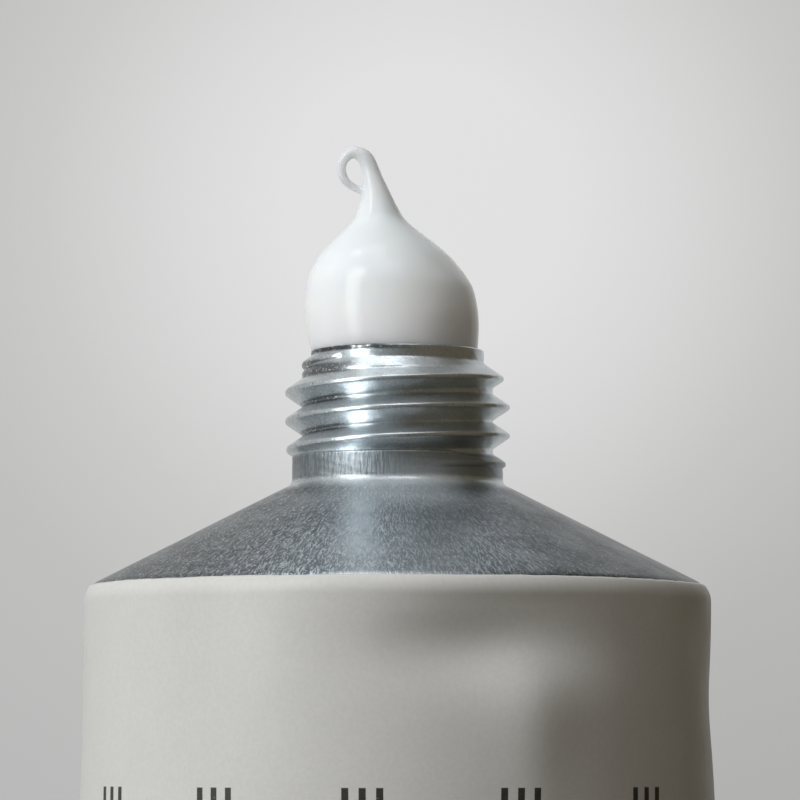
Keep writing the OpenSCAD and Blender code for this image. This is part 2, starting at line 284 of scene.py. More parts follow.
def ring_faces(rows, columns, closed=False):
    """Faces between rows of points; the last row joins the first if closed."""
    faces = []
    for i in range(rows if closed else rows - 1):
        a, b = i * columns, (i + 1) % rows * columns
        for j in range(columns):
            k = (j + 1) % columns
            faces.append((a + j, b + j, b + k, a + k))
    return faces


def lofted(rings, closed=False):
    """A closed body from its rings: joined end to end, or capped at both ends."""
    columns = len(rings[0])
    faces = ring_faces(len(rings), columns, closed)
    if not closed:
        last = (len(rings) - 1) * columns
        faces += [tuple(range(columns)), tuple(last + j for j in reversed(range(columns)))]
    return np.vstack(rings), faces


HEM_STEPS = 8


def hem_path():
    """The middle line of the folded strip, as (drop, towards the back)."""
    steps = HEM_STEPS
    path = [(STRIP_START, 0.0), (HEM_START, 0.0), (HEM_TURN, 0.0)]
    for i in range(1, steps):
        a = math.pi / 2 - math.pi * i / steps
        path.append((HEM_TURN + LAYER * math.cos(a), -LAYER + LAYER * math.sin(a)))
    path += [(HEM_TURN, -2 * LAYER), (HEM_START, -2 * LAYER)]
    for i in range(1, steps):
        a = -math.pi / 2 - math.pi * i / steps
        path.append((HEM_START + LAYER / 2 * math.cos(a), -1.5 * LAYER + LAYER / 2 * math.sin(a)))
    path += [(HEM_START, -LAYER), (HEM_TURN, -LAYER)]
    return np.array(path)


def folded_strip(near, far, half_width):
    """A body along the hem's path, between two distances to the left of it."""
    path = hem_path()
    along = np.gradient(path, axis=0)
    along /= np.linalg.norm(along, axis=1)[:, None]
    side = np.stack([-along[:, 1], along[:, 0]], axis=1)
    sections = []
    for point, normal in zip(path, side):
        a, b = point + near * normal, point + far * normal
        sections.append(np.array([
            [half_width, a[1], -a[0]],
            [half_width, b[1], -b[0]],
            [-half_width, b[1], -b[0]],
            [-half_width, a[1], -a[0]],
        ]))
    return lofted(sections)


HEM_HALF_WIDTH = float(sleeve_ring(STRIP_START, WALL)[:, 0].max())


# The thread

# Degrees turned from the first crest, at the tube's right, where the thread runs in and out
RUN_IN = 75.0
RUN_IN_FULL = 270.0
LAST_ANGLE = (NOSE_LEVEL - FIRST_CREST) / PITCH * 360 + 30
RUN_OUT = 390.0
# The collar's top follows the thread, this far under its crest, and comes back down after that angle.
COLLAR_LAP = 0.4
COLLAR_BACK = 300
BITE = 0.05


def crest_radius(turned):
    """The crest's radius along the thread, which runs in from the collar and out to the nose."""
    share_in = np.clip((turned + RUN_IN) / (RUN_IN_FULL + RUN_IN), 0, 1)
    share_out = np.clip((LAST_ANGLE - turned) / RUN_OUT, 0.002, 1)
    return np.where(
        turned < RUN_IN_FULL,
        COLLAR_R - BITE + (THREAD_R - COLLAR_R + BITE) * np.sqrt(share_in),
        NOSE_R + (THREAD_R - NOSE_R) * np.sqrt(share_out),
    )


def neck_radius(level, angles):
    """The neck's radius at one level, round all angles."""
    core = float(np.interp(level, [NOSE_TAPER, NOSE_LEVEL], [CORE_R, NOSE_R]))
    r = np.full(len(angles), core)
    low = FIRST_CREST - COLLAR_LAP
    follow = FIRST_CREST + PITCH * np.minimum(angles, 180) / 360 - COLLAR_LAP
    back = follow + (low - follow) * (angles - COLLAR_BACK) / (360 - COLLAR_BACK)
    r = np.where(level <= np.where(angles <= COLLAR_BACK, follow, back), COLLAR_R, r)
    turn = np.round(((level - FIRST_CREST) / PITCH * 360 - angles) / 360)
    for k in (-1, 0, 1):
        turned = angles + 360 * (turn + k)
        away = np.abs(level - FIRST_CREST - PITCH * turned / 360)
        ridge = crest_radius(turned) - np.maximum(0, away - CREST_FLAT / 2) / FLANK
        there = (turned >= -RUN_IN) & (turned <= LAST_ANGLE)
        r = np.where(there, np.maximum(r, ridge), r)
    return r


def wave(seed, x, y, lengths):
    """A smooth, repeatable unevenness from a few waves of those lengths, from -1 to 1."""
    rng = np.random.default_rng(seed)
    total = 0
    for length in lengths:
        a, phase = rng.uniform(0, 2 * math.pi, 2)
        total = total + np.sin(2 * math.pi * (x * math.cos(a) + y * math.sin(a)) / length + phase)
    return total / len(lengths)


NECK_STEP = 0.05
NOSE_BLEND = 0.3
# How uneven the thread is by wear and by small knocks, and how much the cone swells
WEAR = 0.012
KNOCKS = 0.010
CONE_SWELL = 0.012
FILLET_R = 0.55
FILLET_REACH = FILLET_R * math.tan(math.pi / 4 - SHOULDER_SLOPE / 2)


def neck_rings():
    """The neck from under the nose's edge to its foot, with a rounded, slightly worn thread."""
    top, foot = RIM_LEVEL - RIM_CHAMFER - 0.02, FOOT_LEVEL + FILLET_REACH + 0.02
    levels = np.arange(top, foot, -NECK_STEP)
    r = np.array([neck_radius(level, ANGLES) for level in levels])
    # Each ring takes a share from its two neighbours, which rounds the crests and the roots.
    padded = np.vstack([r[:1], r, r[-1:]])
    r = sum(weight * padded[i : i + len(r)] for i, weight in enumerate(np.array([1, 2, 1]) / 4))
    for i, level in enumerate(levels):
        x, y = r[i] * COS, r[i] * SIN
        r[i] += WEAR * wave(3, x + 3 * level, y - 2 * level, (0.9, 1.4, 2.3))
        r[i] += KNOCKS * wave(5, x, y, (1.7, 2.9))
    fade = np.clip((levels[0] - levels) / NOSE_BLEND, 0, 1)[:, None]
    r = NOSE_R * (1 - fade) + r * fade
    return [round_ring(r[i], level) for i, level in enumerate(levels)]


def rim_rings():
    """The rim, from inside the bore over its flat top to the rounded outer edge of the nose."""
    rings = [round_ring(BORE_R, RIM_LEVEL - d) for d in (3.0, 1.0, 0.25, 0.06)]
    rings += [round_ring(BORE_R + 0.02, RIM_LEVEL - 0.015), round_ring(BORE_R + 0.06, RIM_LEVEL)]
    rings += [round_ring(r, RIM_LEVEL) for r in np.linspace(BORE_R + 0.2, NOSE_R - RIM_CHAMFER, 4)]
    for s in (0.3, 0.6, 0.85, 0.97):
        down = RIM_CHAMFER * (1 - math.sqrt(1 - s * s))
        rings.append(round_ring(NOSE_R - RIM_CHAMFER * (1 - s), RIM_LEVEL - down))
    return rings


def foot_rings():
    """The fillet at the neck's foot and the cone below it, which swells very slightly."""
    rings = []
    for a in np.linspace(0, math.pi / 2 - SHOULDER_SLOPE, 9):
        level = FOOT_LEVEL + FILLET_REACH - FILLET_R * math.sin(a)
        rings.append(round_ring(COLLAR_R + FILLET_R * (1 - math.cos(a)), level))
    for r in np.linspace(COLLAR_R + 0.5, SLOPE_START_R - 0.05, 30):
        swell = CONE_SWELL * wave(11, r * COS, r * SIN, (4.0, 7.0, 11.0))
        rings.append(round_ring(r, (SLOPE_START_R - r) * math.tan(SHOULDER_SLOPE) + swell))
    return rings


def inside_slope(r):
    """The level of the shoulder's inside surface at that radius."""
    return (SLOPE_START_R - r) * math.tan(SHOULDER_SLOPE) - SHOULDER_WALL / math.cos(SHOULDER_SLOPE)


def edge_ring(r, angle):
    """A ring on the rounded corner, with its dents: its arc's radius, and the angle up from level."""
    level = -EDGE_DROP + r * np.sin(angle)
    return round_ring(RADIUS - EDGE_ROUND + r * np.cos(angle) - dents(-np.mean(level)), level)


def build_tube(material):
    """Neck, thread, shoulder, sleeve and hem, which are one piece of aluminium."""
    rings = rim_rings() + neck_rings() + foot_rings()
    corner = np.linspace(math.pi / 2 - SHOULDER_SLOPE, 0, 10)
    rings += [edge_ring(EDGE_ROUND - ENAMEL, a) for a in corner]
    rings += [sleeve_ring(d, WALL) for d in CLOSED_DROPS]
    rings += [sleeve_ring(d, 0.0) for d in INSIDE_DROPS[::-1]]
    rings += [round_ring(r, inside_slope(r)) for r in np.linspace(INNER_R, BORE_R, 8)]
    hem = folded_strip(-STRIP / 2, STRIP / 2, HEM_HALF_WIDTH)
    make_piece("tube_metal", [lofted(rings, closed=True), hem], material, "tube")


# How much the enamel's edge wanders on the corner, in radians, and how much thinner it is there
RAGGEDNESS = 0.035
EDGE_THINNING = 0.015


def build_enamel(material):
    """The enamel, from its thin, ragged edge on the rounded corner down to the hem."""
    reach = math.acos((EDGE_ROUND - ENAMEL_REACH) / EDGE_ROUND)
    ragged = reach + RAGGEDNESS * wave(21, RADIUS * COS, RADIUS * SIN, (0.8, 1.3, 2.1, 9.0))
    shares = np.linspace(1.0, 0.0, 12)
    thinned = EDGE_THINNING * np.maximum(0.0, 1 - (1 - shares) * 8)
    rings = [edge_ring(EDGE_ROUND - thin, ragged * s) for thin, s in zip(thinned, shares)]
    rings += [sleeve_ring(d, SKIN) for d in CLOSED_DROPS]
    rings += [sleeve_ring(d, WALL) for d in CLOSED_DROPS[::-1]]
    rings += [edge_ring(EDGE_ROUND - ENAMEL, ragged * s) for s in shares[::-1]]
    outer = folded_strip(STRIP / 2, STRIP / 2 + FOLD_GAP / 2, HEM_HALF_WIDTH)
    inner = folded_strip(-STRIP / 2 - ENAMEL, -STRIP / 2, HEM_HALF_WIDTH)
    parts = [lofted(rings, closed=True), outer, inner]
    make_piece("cream_enamel", parts, material, "enamel_coat")


# The lotion

# The dab's spine: height above the rim, distance to the right, radius
DAB = [
    (-0.3, -0.2, 5.3), (0.8, -0.25, 5.45), (2.3, -0.35, 5.55), (3.9, -0.5, 5.4),
    (4.7, -0.65, 5.15), (5.4, -0.75, 4.75), (6.2, -0.85, 4.15), (7.0, -0.95, 3.3),
    (7.8, -1.05, 2.35), (8.5, -1.15, 1.65), (9.3, -1.25, 1.25), (10.5, -1.4, 0.82),
    (11.6, -1.7, 0.58), (12.0, -1.9, 0.52),
]
# The curl's spine: distance to the right, height above the rim, distance to the back, radius
CURL = [
    (-1.5, 11.0, 0.0, 0.6), (-1.9, 12.15, 0.0, 0.55), (-2.2, 12.6, -0.05, 0.5),
    (-2.7, 12.85, -0.1, 0.4), (-3.15, 12.7, -0.15, 0.37), (-3.5, 12.3, -0.2, 0.33),
    (-3.6, 11.8, -0.2, 0.3), (-3.5, 11.25, -0.2, 0.3), (-3.15, 10.8, -0.1, 0.27),
    (-2.65, 10.5, -0.05, 0.25), (-2.0, 10.2, 0.0, 0.25), (-1.6, 10.0, 0.0, 0.25),
]


def smooth_line(points, steps):
    """Points along a smooth line through the given ones."""
    p = np.vstack([points[0], points, points[-1]])
    line = []
    for i in range(1, len(p) - 2):
        a, b, c, d = p[i - 1 : i + 3]
        for t in np.arange(steps) / steps:
            bend = (2 * a - 5 * b + 4 * c - d) * t**2 + (3 * b - a - 3 * c + d) * t**3
            line.append(0.5 * (2 * b + (c - a) * t + bend))
    return np.array(line + [p[-2]])


def dab_rings():
    """Rings of the dab, a little uneven, with its middle leant back very slightly."""
    rings = []
    turn = np.radians(np.arange(0, 360, 5.0))
    for up, right, r in smooth_line(np.array(DAB), 7):
        lean_back = 0.10 * math.sin(rise(up, 0.0, 11.0) * math.pi)
        uneven = 1 + 0.006 * np.sin(2 * turn + 0.9 * up) + 0.004 * np.sin(3 * turn - up)
        rings.append(np.stack([
            right + r * uneven * np.cos(turn),
            lean_back + r * uneven * np.sin(turn),
            np.full(len(turn), RIM_LEVEL + up),
        ], axis=1))
    return rings


def curl_rings():
    """Rings of the curl, square to its spine."""
    line = smooth_line(np.array(CURL), 5)
    centre, r = line[:, :3], line[:, 3]
    along = np.gradient(centre, axis=0)
    along /= np.linalg.norm(along, axis=1)[:, None]
    turn = np.radians(np.arange(0, 360, 15.0))
    rings = []
    for c, a, radius in zip(centre, along, r):
        side = np.cross((0.0, 0.0, 1.0), a)
        side /= np.linalg.norm(side)
        depth = np.cross(a, side)
        ring = c + radius * (np.outer(np.cos(turn), side) + np.outer(np.sin(turn), depth))
        rings.append(np.stack([ring[:, 0], ring[:, 2], RIM_LEVEL + ring[:, 1]], axis=1))
    return rings


MELT_VOXEL = 0.085
MELT_ROUNDS = 11
FILL_GAP = 0.02


def melted(parts):
    """One skin round overlapping bodies, with the inner corners between them filled and smoothed."""
    points, faces = joined(parts)
    mesh = bpy.data.meshes.new("melting")
    mesh.from_pydata(points, [], faces)
    melting = bpy.data.objects.new("melting", mesh)
    bpy.context.collection.objects.link(melting)
    skin = melting.modifiers.new("skin", "REMESH")
    skin.mode = "VOXEL"
    skin.voxel_size = MELT_VOXEL
    soften = melting.modifiers.new("soften", "SMOOTH")
    soften.factor = 0.5
    soften.iterations = MELT_ROUNDS
    depsgraph = bpy.context.evaluated_depsgraph_get()
    done = bpy.data.meshes.new_from_object(melting.evaluated_get(depsgraph))
    places = np.empty(len(done.vertices) * 3)
    done.vertices.foreach_get("co", places)
    polygons = [tuple(p.vertices) for p in done.polygons]
    bpy.data.objects.remove(melting)
    bpy.data.meshes.remove(mesh)
    bpy.data.meshes.remove(done)
    return places.reshape(-1, 3), polygons


def build_lotion(material):
    """The lotion: the dab and its curl outside, and what fills the neck and the sleeve."""
    dab = melted([lofted(dab_rings()), lofted(curl_rings())])
    gap = FILL_GAP
    in_neck = np.linspace(RIM_LEVEL + 0.6, inside_slope(BORE_R), 6)
    fill = [round_ring(BORE_R - gap, level) for level in in_neck]
    fill += [round_ring(r - gap, inside_slope(r)) for r in np.linspace(BORE_R + 0.3, INNER_R, 8)]
    fill += [sleeve_ring(d, -gap) for d in DROPS[:-4:2]]
    make_piece("lotion_dab_and_fill", [dab, lofted(fill)], material, "lotion")


# Materials

def linear(code):
    """The linear colour of an sRGB hex code."""
    values = [int(code[i : i + 2], 16) / 255 for i in (1, 3, 5)]
    return tuple(v / 12.92 if v <= 0.04045 else ((v + 0.055) / 1.055) ** 2.4 for v in values) + (1.0,)


def new_material(name):
    """A material, its node tree and its Principled shader."""
    material = bpy.data.materials.new(name)
    material.use_nodes = True
    tree = material.node_tree
    shader = next(n for n in tree.nodes if n.type == "BSDF_PRINCIPLED")
    return material, tree, shader


def plug(tree, node, inputs):
    """Sets each of a node's inputs to a value, or links it to another node's output."""
    for key, value in inputs.items():
        if isinstance(value, bpy.types.NodeSocket):
            tree.links.new(value, node.inputs[key])
        else:
            node.inputs[key].default_value = value


def add(tree, kind, inputs=(), take=0, stops=(), **settings):
    """Adds a node with its settings, inputs and colour stops, and gives one output, or all for None."""
    node = tree.nodes.new("ShaderNode" + kind)
    for key, value in settings.items():
        setattr(node, key, value)
    plug(tree, node, inputs if isinstance(inputs, dict) else dict(enumerate(inputs)))
    elements = node.color_ramp.elements if stops else []
    while len(elements) < len(stops):
        elements.new(0.5)
    for element, (position, colour) in zip(elements, stops):
        element.position = position
        element.color = linear(colour) if isinstance(colour, str) else (colour, colour, colour, 1.0)
    return node.outputs if take is None else node.outputs[take]


def upright_mm(tree):
    """Where a point of the upright tube lies, in millimetres, and from that how far round, out and up."""
    place = add(tree, "TexCoord", take="Object")
    laid = {
        "Vector": place, "Location": Vector(LAID_AT) * MM,
        "Rotation": (LAID_TURN, 0, 0), "Scale": (MM, MM, MM),
    }
    point = add(tree, "Mapping", laid, vector_type="TEXTURE")
    x, y, level = add(tree, "SeparateXYZ", (point,), take=None)
    front = add(tree, "Math", (y, -1.0), operation="MULTIPLY")
    turn = add(tree, "Math", (x, front), operation="ARCTAN2")
    out = add(tree, "VectorMath", (add(tree, "CombineXYZ", (x, y)),), take="Value", operation="LENGTH")
    return SimpleNamespace(point=point, right=x, turn=turn, out=out, level=level)


def between(tree, value, low, high, soft):
    """1 where the value lies between low and high, with soft edges."""
    rising, falling = [
        add(tree, "MapRange", (value, edge - soft, edge + soft), interpolation_type="SMOOTHSTEP")
        for edge in (low, high)
    ]
    return add(tree, "Math", (rising, falling), operation="SUBTRACT", use_clamp=True)


def overlap(tree, *shares):
    """How much is left where several finishes, masks or shares overlap, which is their product."""
    left = shares[0]
    for share in shares[1:]:
        left = add(tree, "Math", (left, share), operation="MULTIPLY")
    return left


def covered(tree, tone, where, share, colour):
    """The tone, covered in another colour by a share where the mask is 1."""
    amount = overlap(tree, where, share)
    return add(tree, "Mix", {0: amount, 6: tone, 7: linear(colour)}, take=2, data_type="RGBA")


def emboss(tree, shader, layers):
    """Relief on the surface in layers: (height, depth in millimetres, strength)."""
    last = {}
    for height, depth, strength in layers:
        inputs = {"Height": height, "Distance": depth * MM, "Strength": strength, **last}
        last = {"Normal": add(tree, "Bump", inputs)}
    plug(tree, shader, last)


# Sizes of the metal's patterns, in millimetres. The real scratches and grains are about 0.03 mm
# across, too fine to show in the render, so they are drawn three to five times as coarse.
CONE_MIDDLE_R = 13.2
SCRATCH_WIDE = 0.08
SCRATCH_LONG = 0.77
GRAIN = 0.15
CLOUD = 2.4
COLLAR_LINE_WIDE = 0.225
COLLAR_LINE_LONG = 1.67
TURNING_MARK_WIDE = 0.111
TURNING_MARK_LONG = 6.0
RIM_SCRAPE_WIDE = 0.2
RIM_SCRAPE_LONG = 0.396


def cone_scratches(tree, at):
    """Two sets of short scratches down the cone, which lean a little to either side and cross."""
    how_often = (CONE_MIDDLE_R / SCRATCH_WIDE, 1 / SCRATCH_LONG, 1 / SCRATCH_LONG)
    sets = []
    for lean in (0.006, -0.014):
        leant = add(tree, "Math", (at.out, lean, at.turn), operation="MULTIPLY_ADD")
        down = add(tree, "CombineXYZ", (leant, at.out, at.level))
        fine = add(tree, "VectorMath", (down, how_often), operation="MULTIPLY")
        sets.append(add(tree, "TexNoise", {"Vector": fine, "Scale": 1.0, "Detail": 2.0, "Roughness": 0.6}))
    return add(tree, "Math", sets, operation="MAXIMUM")


def neck_marks(tree, at, per_radian, per_mm, **noise):
    """Marks round the neck or up it, by how often they come in a radian and in a millimetre of height."""
    wrapped = add(tree, "CombineXYZ", (at.turn, 0.0, at.level))
    fine = add(tree, "VectorMath", (wrapped, (per_radian, 0.0, per_mm)), operation="MULTIPLY")
    return add(tree, "TexNoise", {"Vector": fine, "Scale": 1.0, **noise})


def painted_cone_highlight(tree, at, clouds, below_neck):
    """A painted highlight on the cone, standing in for the neck's reflection: most in a band left of the
    middle of its front, and some below the neck.
    """
    band = overlap(tree, between(tree, at.right, -3.6, -0.9, 1.7), between(tree, at.turn, -0.9, 0.4, 0.3))
    band = overlap(tree, band, add(tree, "ValToRGB", (clouds,), stops=((0.35, 0.55), (0.6, 1.0))))
    weak = overlap(tree, between(tree, at.right, -1.0, 4.6, 1.7), 0.35)
    band = add(tree, "Math", (band, weak), operation="MAXIMUM")
    return add(tree, "Math", (band, overlap(tree, below_neck, 0.6)), operation="MAXIMUM")


def aluminium_material():
    """Impact-extruded aluminium, turned smooth on the neck and frosted on the cone.

    It gives the eye crisp highlights that spread up and down the neck, and a grey cone with
    fine crossing scratches. Painted glints on the lit left fade to smooth metal on the right, and a
    painted highlight band and painted shade to both sides stand in for the cone's reflections.
    """
    material, tree, shader = new_material("impact_extruded_aluminium")
    at = upright_mm(tree)
    flecks = cone_scratches(tree, at)
    grain = add(tree, "TexNoise", {"Vector": at.point, "Scale": 1 / GRAIN, "Detail": 1.0, "Roughness": 0.6})
    clouds = add(tree, "TexNoise", {"Vector": at.point, "Scale": 1 / CLOUD, "Detail": 3.0, "Roughness": 0.6})
    lines = neck_marks(
        tree, at, COLLAR_R / COLLAR_LINE_WIDE, 1 / COLLAR_LINE_LONG, Detail=3.0, Roughness=0.7, Distortion=0.3
    )
    rings = neck_marks(
        tree, at, THREAD_R / TURNING_MARK_LONG, 1 / TURNING_MARK_WIDE, Detail=2.0, Roughness=0.6
    )
    scrapes = neck_marks(
        tree, at, NOSE_R / RIM_SCRAPE_LONG, 1 / RIM_SCRAPE_WIDE, Detail=3.0, Roughness=0.8
    )

    # Where each finish is, and where painted light goes
    # The lit left: painted glints and the cone's scratch relief are strongest there and fade to the right.
    lit_left = add(tree, "MapRange", (at.turn, 1.0, -0.5, 0.3, 1.0))
    on_left = add(tree, "MapRange", (at.turn, 0.25, -0.25, 0.0, 1.0))
    on_cone = between(tree, at.level, -5.0, FOOT_LEVEL - 0.35, 0.3)
    on_collar = between(tree, at.level, FOOT_LEVEL + 0.25, FOOT_LEVEL + 1.75, 0.15)
    on_thread = between(tree, at.level, FOOT_LEVEL + 1.9, NOSE_LEVEL, 0.1)
    on_rim = between(tree, at.level, RIM_LEVEL - 0.32, RIM_LEVEL + 1.0, 0.08)
    below_neck = overlap(
        tree,
        between(tree, at.level, FOOT_LEVEL - 1.9, FOOT_LEVEL + 1.0, 0.8),
        between(tree, at.turn, -0.7, 0.6, 0.25),
    )
    painted_highlight = painted_cone_highlight(tree, at, clouds, below_neck)
    # Painted glints are weaker in the painted highlight band.
    off_highlight = add(tree, "Math", (1.0, overlap(tree, painted_highlight, 0.7)), operation="SUBTRACT")
    lit_off_highlight = overlap(tree, lit_left, off_highlight)
    less_on_cone = add(tree, "Math", (1.0, overlap(tree, on_cone, 0.3)), operation="SUBTRACT")
    grain_and_glints = overlap(tree, less_on_cone, lit_off_highlight)

    # Bright turned metal above, and grey frosted metal on the cone, with a painted highlight band and painted
    # shade darkening it to both sides
    turned = add(tree, "ValToRGB", (clouds,), stops=((0.3, "#c2cacd"), (0.7, "#dbe1e4")))
    grey = ((0.3, "#616d75"), (0.52, "#727e86"), (0.72, "#87929a"))
    # Painted highlight: the frosted grey is turned pale in the band left of the middle and below the neck.
    frosted = covered(tree, add(tree, "ValToRGB", (clouds,), stops=grey), painted_highlight, 0.8, "#c4cdd3")
    tone = add(tree, "Mix", {0: on_cone, 6: turned, 7: frosted}, take=2, data_type="RGBA")
    # Painted glints: pale specks on the cone's scratches, on the lit left.
    painted_scratch_glints = add(tree, "ValToRGB", (flecks,), stops=((0.54, 0.0), (0.62, 1.0)))
    tone = covered(tree, tone, overlap(tree, painted_scratch_glints, on_cone, lit_off_highlight), 0.85, "#e2ecf1")
    # Painted shade: the cone darkens to both sides of its front.
    off_middle = add(tree, "Math", (at.turn, 0.05), operation="SUBTRACT")
    sideways = overlap(tree, add(tree, "Math", (off_middle,), operation="ABSOLUTE"), 0.5)
    falling = ((0.13, 1.0), (0.18, 0.84), (0.26, 0.6), (0.4, 0.48), (0.5, 0.42))
    painted_cone_shade = add(tree, "ValToRGB", (sideways,), stops=falling)
    tone = add(
        tree, "Mix", {0: on_cone, 6: tone, 7: painted_cone_shade}, take=2, data_type="RGBA", blend_type="MULTIPLY"
    )

    # On the left the grooves get painted shade, grains get painted glints or are pitted, and collar and rim
    # are scraped
    # Painted shade in the thread's grooves on the left, where shadow falls.
    in_groove = between(tree, at.out, CORE_R - 0.3, CORE_R + 0.15, 0.1)
    painted_groove_shade = overlap(tree, in_groove, between(tree, at.turn, -3.0, -0.55, 0.2), on_thread)
    # Painted glints: white grains on the lit left; dark pits on the grain there too.
    painted_glints = add(tree, "ValToRGB", (grain,), stops=((0.62, 0.0), (0.68, 1.0)))
    pits = add(tree, "ValToRGB", (grain,), stops=((0.3, 1.0), (0.37, 0.0)))
    lined = add(tree, "ValToRGB", (lines,), stops=((0.4, 1.0), (0.6, 0.0)))
    scraped = add(tree, "ValToRGB", (scrapes,), stops=((0.36, 0.0), (0.46, 1.0)))
    for where, share, colour in (
        (painted_groove_shade, 0.75, "#3c4244"),
        (overlap(tree, painted_glints, grain_and_glints), 0.9, "#ffffff"),
        (overlap(tree, pits, grain_and_glints), 0.6, "#6a7376"),
        (overlap(tree, lined, on_collar, on_left), 0.85, "#4b5154"),
        (on_collar, 0.7, "#8b9397"),
        (overlap(tree, scraped, on_rim, on_left), 0.9, "#2a2e30"),
    ):
        tone = covered(tree, tone, where, share, colour)

    # The turning marks run round the neck, so the highlights spread up and down it.
    axis = add(
        tree, "VectorTransform", ((0.0, math.cos(LEAN), math.sin(LEAN)),),
        vector_type="VECTOR", convert_from="OBJECT", convert_to="WORLD",
    )
    facing = add(tree, "NewGeometry", take="Normal")
    around = add(tree, "VectorMath", (axis, facing), operation="CROSS_PRODUCT")
    smooth = add(tree, "ValToRGB", (clouds,), stops=((0.3, 0.38), (0.7, 0.30)))
    plug(tree, shader, {
        "Base Color": tone,
        # The frosting scatters light just below the neck
        "Metallic": add(tree, "Math", (1.0, overlap(tree, below_neck, 0.5)), operation="SUBTRACT"),
        "Roughness": add(tree, "Mix", {0: on_collar, 2: smooth, 3: 0.46}),
        "Anisotropic": 0.55,
        "Tangent": add(tree, "VectorMath", (facing, around), operation="CROSS_PRODUCT"),
    })
    emboss(tree, shader, [
        (overlap(tree, flecks, on_cone, lit_left), 0.025, 0.9),
        (grain, 0.01, 0.8),
        (rings, 0.02, 0.5),
        (overlap(tree, lines, on_collar, on_left), 0.05, 0.8),
    ])
    return material


# The row of printed bars, in millimetres, and in degrees where it goes round the sleeve
PRINT_TOP_DROP = 12.95
PRINT_HEIGHT = 2.4
PRINT_GROUPS = 5
PRINT_APART = 27.6
PRINT_LEFT = 6.0
BAR_APART = 3.0
BAR_HALF = 0.62
INK_SPECKLE = 0.09


def printed_bars(tree, at):
    """1 where ink is printed: five groups of three plain bars, each about 0.43 mm wide, slightly worn."""
    degrees = add(tree, "Math", (at.turn, 180 / math.pi), operation="MULTIPLY")
    shifted = add(tree, "Math", (degrees, PRINT_LEFT + PRINT_APART * PRINT_GROUPS / 2), operation="ADD")
    group = add(tree, "Math", (shifted, PRINT_APART), operation="MODULO")
    centred = add(tree, "Math", (group, PRINT_APART / 2), operation="SUBTRACT")
    group_half = BAR_APART * 1.5
    bar = add(tree, "Math", (add(tree, "Math", (centred, group_half)), BAR_APART), operation="MODULO")
    off_bar = add(tree, "Math", (bar, BAR_APART / 2), operation="SUBTRACT")
    off_bar = add(tree, "Math", (off_bar,), operation="ABSOLUTE")
    drop = add(tree, "Math", (at.level, -1.0), operation="MULTIPLY")
    speckle = {"Vector": at.point, "Scale": 1 / INK_SPECKLE, "Detail": 2.0, "Roughness": 0.6}
    return overlap(
        tree,
        between(tree, off_bar, -1.0, BAR_HALF, 0.06),
        between(tree, centred, -group_half, group_half, 0.05),
        between(tree, drop, PRINT_TOP_DROP, PRINT_TOP_DROP + PRINT_HEIGHT, 0.03),
        between(tree, shifted, 0.0, PRINT_APART * PRINT_GROUPS, 0.2),
        add(tree, "ValToRGB", (add(tree, "TexNoise", speckle),), stops=((0.22, 0.6), (0.36, 1.0))),
    )


def enamel_material():
    """Baked enamel, sprayed on, which gives the eye an even, satin cream with a faint orange peel."""
    material, tree, shader = new_material("baked_cream_enamel")
    at = upright_mm(tree)
    # Noises by the size of their patches in millimetres: (size, detail, roughness)
    wide, fine, satin, peel, ripple = [
        add(tree, "TexNoise", {"Vector": at.point, "Scale": 1 / size, "Detail": detail, "Roughness": rough})
        for size, detail, rough in (
            (6.0, 4.0, 0.6), (0.28, 2.0, 0.6), (1.8, 3.0, 0.5), (0.35, 2.0, 0.5), (5.5, 2.0, 0.4)
        )
    ]
    tint = add(tree, "ValToRGB", (wide,), stops=((0.3, "#d1d0cc"), (0.7, "#d6d5d2")))
    speck = add(tree, "ValToRGB", (fine,), stops=((0.35, "#c9c8c3"), (0.65, "#dddcd9")))
    tint = add(tree, "Mix", {0: 0.22, 6: tint, 7: speck}, take=2, data_type="RGBA")
    plug(tree, shader, {
        "Base Color": covered(tree, tint, printed_bars(tree, at), 1.0, "#3a3931"),
        "Roughness": add(tree, "ValToRGB", (satin,), stops=((0.3, 0.44), (0.7, 0.36))),
        "IOR": 1.5,
        "Specular IOR Level": 0.3,
    })
    emboss(tree, shader, [(peel, 0.004, 0.7), (ripple, 0.11, 0.6)])
    return material


def lotion_material():
    """Body lotion, a thick white emulsion: wet and smooth, and soft where a little light goes through."""
    material, tree, shader = new_material("body_lotion_emulsion")
    at = upright_mm(tree)
    patches, wet, waves = [
        add(tree, "TexNoise", {"Vector": at.point, "Scale": 1 / size, "Detail": detail, "Roughness": rough})
        for size, detail, rough in ((3.0, 2.0, 0.5), (1.6, 2.0, 0.5), (2.2, 1.0, 0.4))
    ]
    # Painted light: it is paler low down, brightening the dab's base, which gets little light.
    height = add(tree, "MapRange", (at.level, RIM_LEVEL, RIM_LEVEL + 7.0))
    height = add(tree, "Math", (height, overlap(tree, patches, 0.1)))
    plug(tree, shader, {
        "Base Color": add(tree, "ValToRGB", (height,), stops=((0.05, "#fafcfd"), (0.95, "#e9eef0"))),
        "Roughness": add(tree, "ValToRGB", (wet,), stops=((0.3, 0.16), (0.7, 0.12))),
        "Subsurface Weight": 1.0,
        "Subsurface Radius": (1.0, 0.95, 0.85),
        "Subsurface Scale": 1.8 * MM,
        "IOR": 1.36,
        "Specular IOR Level": 0.35,
    })
    emboss(tree, shader, [(waves, 0.05, 0.5)])
    return material


# Floor and light

def seen_directly(tree):
    """1 for rays from the camera, or off metal, gloss and glass."""
    path = add(tree, "LightPath", take=None)
    seen = add(tree, "Math", (path["Is Camera Ray"], path["Is Glossy Ray"]), operation="MAXIMUM")
    return add(tree, "Math", (seen, path["Is Transmission Ray"]), operation="MAXIMUM")


